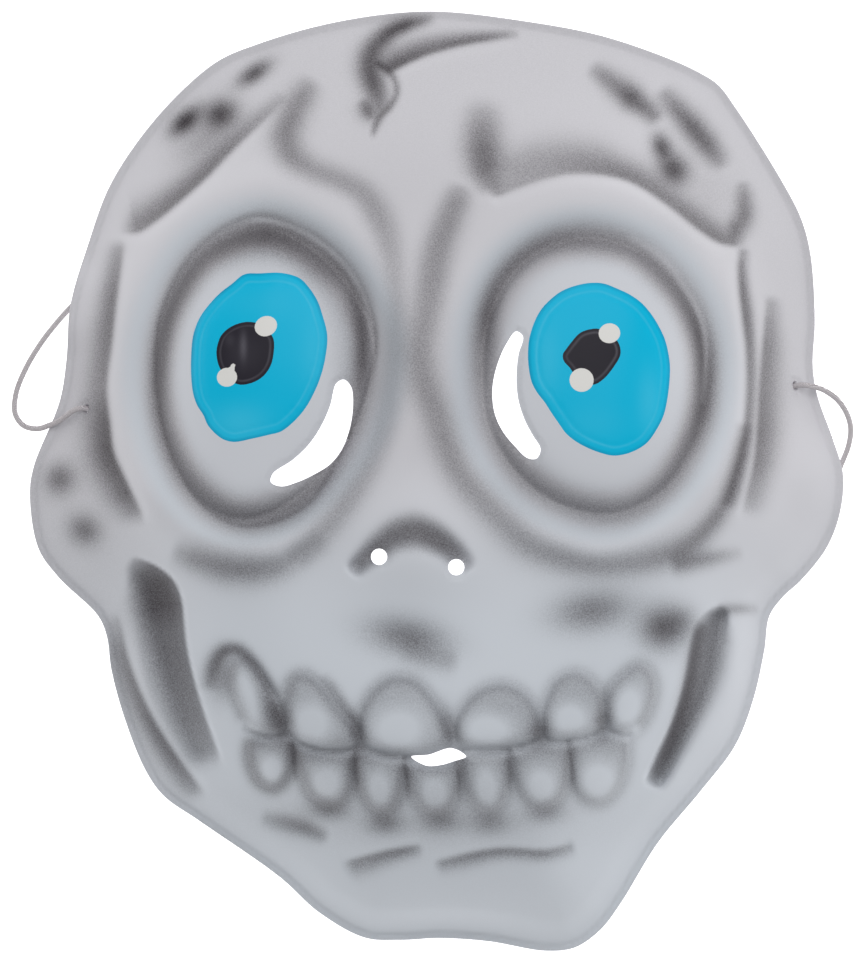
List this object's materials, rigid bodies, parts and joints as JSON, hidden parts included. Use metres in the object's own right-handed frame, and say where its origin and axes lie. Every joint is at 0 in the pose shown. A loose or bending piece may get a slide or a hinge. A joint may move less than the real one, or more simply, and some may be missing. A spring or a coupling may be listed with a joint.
{
  "type": "skeleton face mask",
  "caption": "Moulded skeleton face mask, a thin hollow sheet with bulging eyes and bared teeth, with curved eye slits and a loose elastic head cord.",
  "frame": {"origin": "on the floor under the middle of the face sheet, which rests on its rim with the face up", "axes": "+X to the right and +Y to the crown as seen from in front of the face, +Z out of the face"},
  "size_m": [0.2183, 0.2434, 0.0575],
  "materials": {
    "face_sheet": "pale grey moulded sheet, satin, with airbrushed grey shadows and painted blue irises",
    "elastic_cord": "round braided elastic, grey white"
  },
  "bodies": {
    "root": {"mask_shell": "face_sheet", "elastic": "elastic_cord", "knot_left": "elastic_cord", "knot_right": "elastic_cord"}
  },
  "joints": []
}
